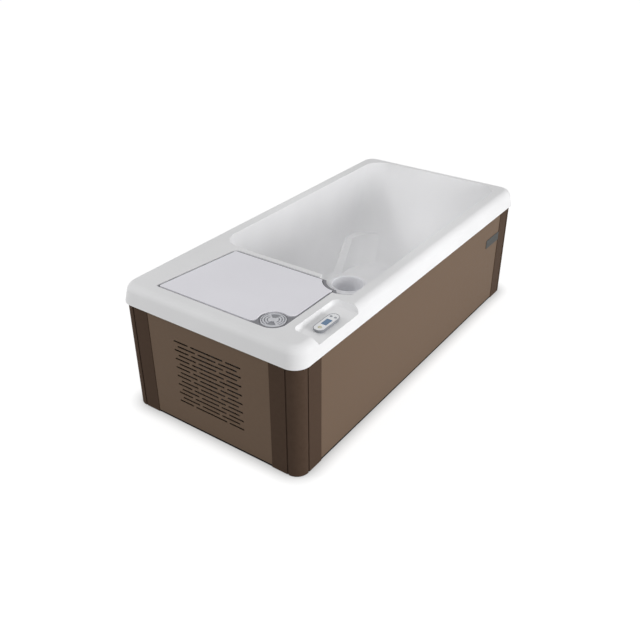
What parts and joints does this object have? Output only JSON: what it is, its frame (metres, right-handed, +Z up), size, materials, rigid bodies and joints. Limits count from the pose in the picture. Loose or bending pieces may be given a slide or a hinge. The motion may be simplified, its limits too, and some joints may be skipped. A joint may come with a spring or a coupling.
{
  "type": "cold plunge tub",
  "caption": "Rectangular one-person cold plunge tub: white moulded basin with sloped backrest, lift-off equipment cover, knob, filter well and control on a brown cabinet with a slotted grille.",
  "frame": {"origin": "on the floor under the middle of the tub", "axes": "+X across the tub to the side with the control and the filter well; +Y along the tub from the grille to the sloped end; +Z up"},
  "size_m": [0.953, 2.005, 0.616],
  "materials": {
    "acrylic": "white gloss acrylic",
    "seal": "grey matt rubber",
    "knob": "light grey satin plastic",
    "pipe": "white pipe plastic",
    "bezel": "grey satin plastic",
    "face": "pale grey satin plastic",
    "display": "blue display window",
    "button": "off-white satin plastic",
    "filter": "white pleated filter cloth",
    "panel": "brown matt composite",
    "post": "dark brown matt composite",
    "frame": "galvanised",
    "plate": "grey satin",
    "base": "black matt",
    "foam": "rigid foam",
    "sheet": "plain sheet",
    "fin": "fine fins",
    "black": "black plastic",
    "motor": "dark grey enamel",
    "steel": "brushed",
    "lever": "red plastic sleeve"
  },
  "bodies": {
    "tub": {"tub_shell": "acrylic", "cover_seal": "seal", "valve_body": "pipe", "filter_canister": "pipe", "return_jet": "pipe", "drain_fitting": "pipe", "filter_pipe": "pipe", "chiller_feed_pipe": "pipe", "chiller_return_pipe": "pipe", "return_pipe": "pipe", "control_housing": "bezel", "control_face": "face", "ozone_generator": "face", "control_display": "display", "front_panel": "panel", "rear_panel": "panel", "left_panel": "panel", "right_panel": "panel", "corner_post_front_left": "post", "corner_post_front_right": "post", "corner_post_rear_left": "post", "corner_post_rear_right": "post", "frame_rail_front": "frame", "frame_rail_rear": "frame", "frame_rail_left": "frame", "frame_rail_right": "frame", "frame_leg_front_left": "frame", "frame_leg_middle_left": "frame", "frame_leg_rear_left": "frame", "frame_leg_front_right": "frame", "frame_leg_middle_right": "frame", "frame_leg_rear_right": "frame", "side_plate": "plate", "base_pan": "base", "control_box": "base", "foam_jacket": "foam", "chiller_tray": "sheet", "fan_shroud": "sheet", "control_box_cover": "sheet", "condenser_coil": "fin", "pump_wet_end": "black", "pump_base": "black", "fan_motor": "motor", "compressor": "motor", "pump_motor": "motor", "heat_exchanger": "steel", "drain_valve": "steel"},
    "cover": {"equipment_cover": "acrylic", "cover_core": "foam"},
    "knob": {"valve_knob": "knob"},
    "power_button": {"button_power": "button"},
    "up_button": {"button_up": "button"},
    "down_button": {"button_down": "button"},
    "cartridge": {"filter_cartridge": "filter"},
    "fan": {"fan_rotor": "black"},
    "drain_lever": {"drain_handle": "lever"}
  },
  "joints": [
    {"name": "cover_lift", "type": "slide", "parent": "tub", "child": "cover", "axis": [0, 0, 1], "range_m": [0, 0.3]},
    {"name": "knob_turn", "type": "hinge", "parent": "tub", "child": "knob", "pos_m": [0.247, -0.8565, 0.609], "axis": [0, 0, 1], "range_deg": [0, 90]},
    {"name": "power_press", "type": "slide", "parent": "tub", "child": "power_button", "axis": [0, 0, -1], "range_m": [0, 0.001], "stiffness_N_per_m": 400},
    {"name": "up_press", "type": "slide", "parent": "tub", "child": "up_button", "axis": [0, 0, -1], "range_m": [0, 0.001], "stiffness_N_per_m": 400},
    {"name": "down_press", "type": "slide", "parent": "tub", "child": "down_button", "axis": [0, 0, -1], "range_m": [0, 0.001], "stiffness_N_per_m": 400},
    {"name": "filter_lift", "type": "slide", "parent": "tub", "child": "cartridge", "axis": [0, 0, 1], "range_m": [0, 0.36]},
    {"name": "fan_spin", "type": "hinge", "parent": "tub", "child": "fan", "pos_m": [0, -0.8882, 0.24], "axis": [0, 1, 0], "continuous": true},
    {"name": "drain_lever_turn", "type": "hinge", "parent": "tub", "child": "drain_lever", "pos_m": [-0.1897, -0.5276, 0.208], "axis": [0, 0, -1], "range_deg": [0, 90]}
  ]
}
